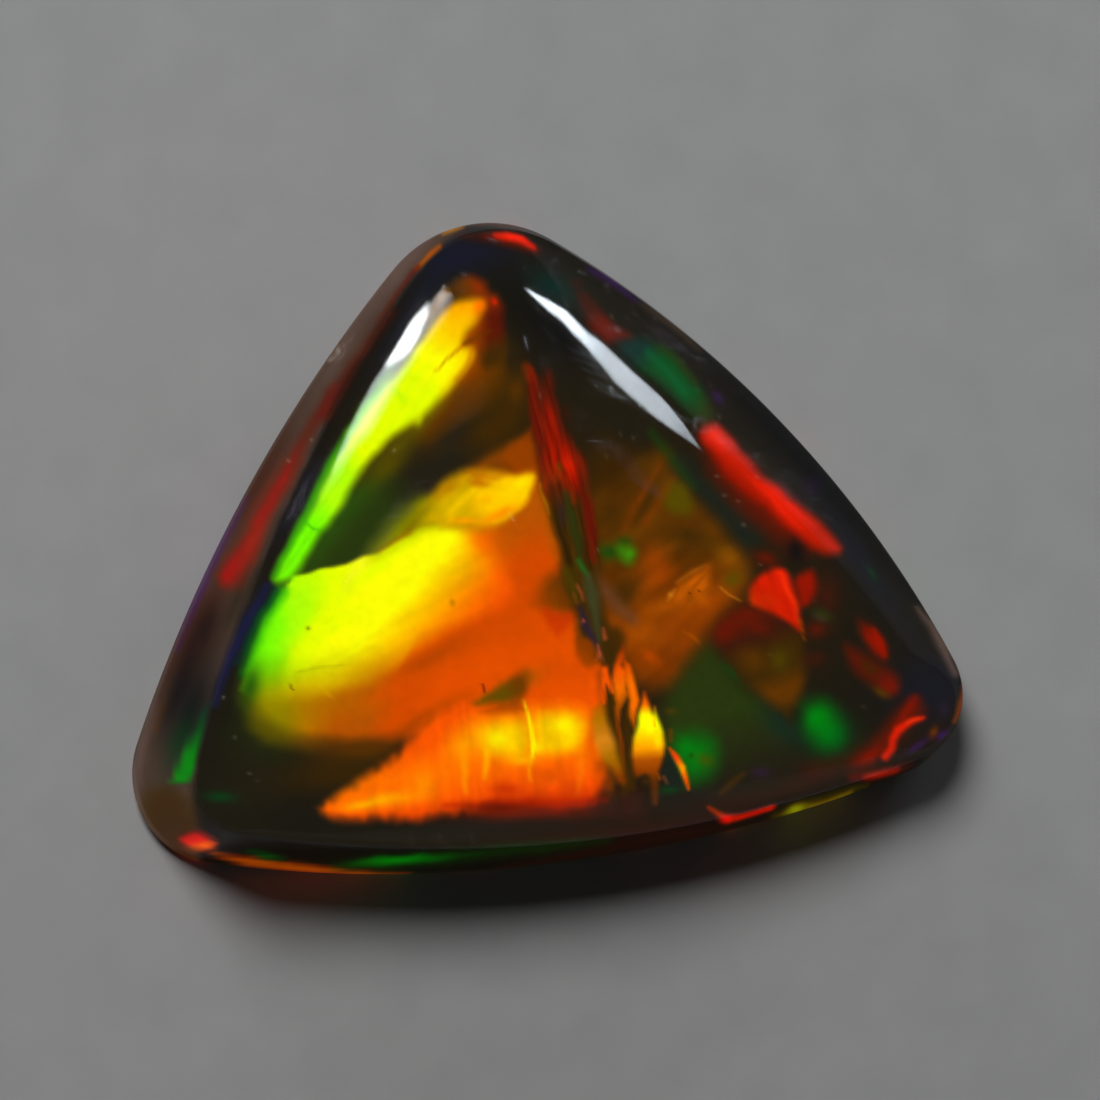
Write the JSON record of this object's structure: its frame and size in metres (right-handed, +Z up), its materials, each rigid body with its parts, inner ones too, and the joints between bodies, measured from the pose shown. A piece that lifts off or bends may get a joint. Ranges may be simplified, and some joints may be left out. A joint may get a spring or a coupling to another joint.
{
  "type": "ethiopian opal cabochon",
  "caption": "Polished opal cabochon, rounded three-cornered outline with a low dome, a leaning wall and a flat back to rest on.",
  "frame": {"origin": "on the flat back, at the middle of the stone's bounding box", "axes": "+Z up through the dome, away from the flat back; X along the long side; +Y towards the top corner"},
  "size_m": [0.0144, 0.0108, 0.0038],
  "materials": {
    "opal": "polished"
  },
  "bodies": {
    "root": {"opal_stone": "opal"}
  },
  "joints": []
}
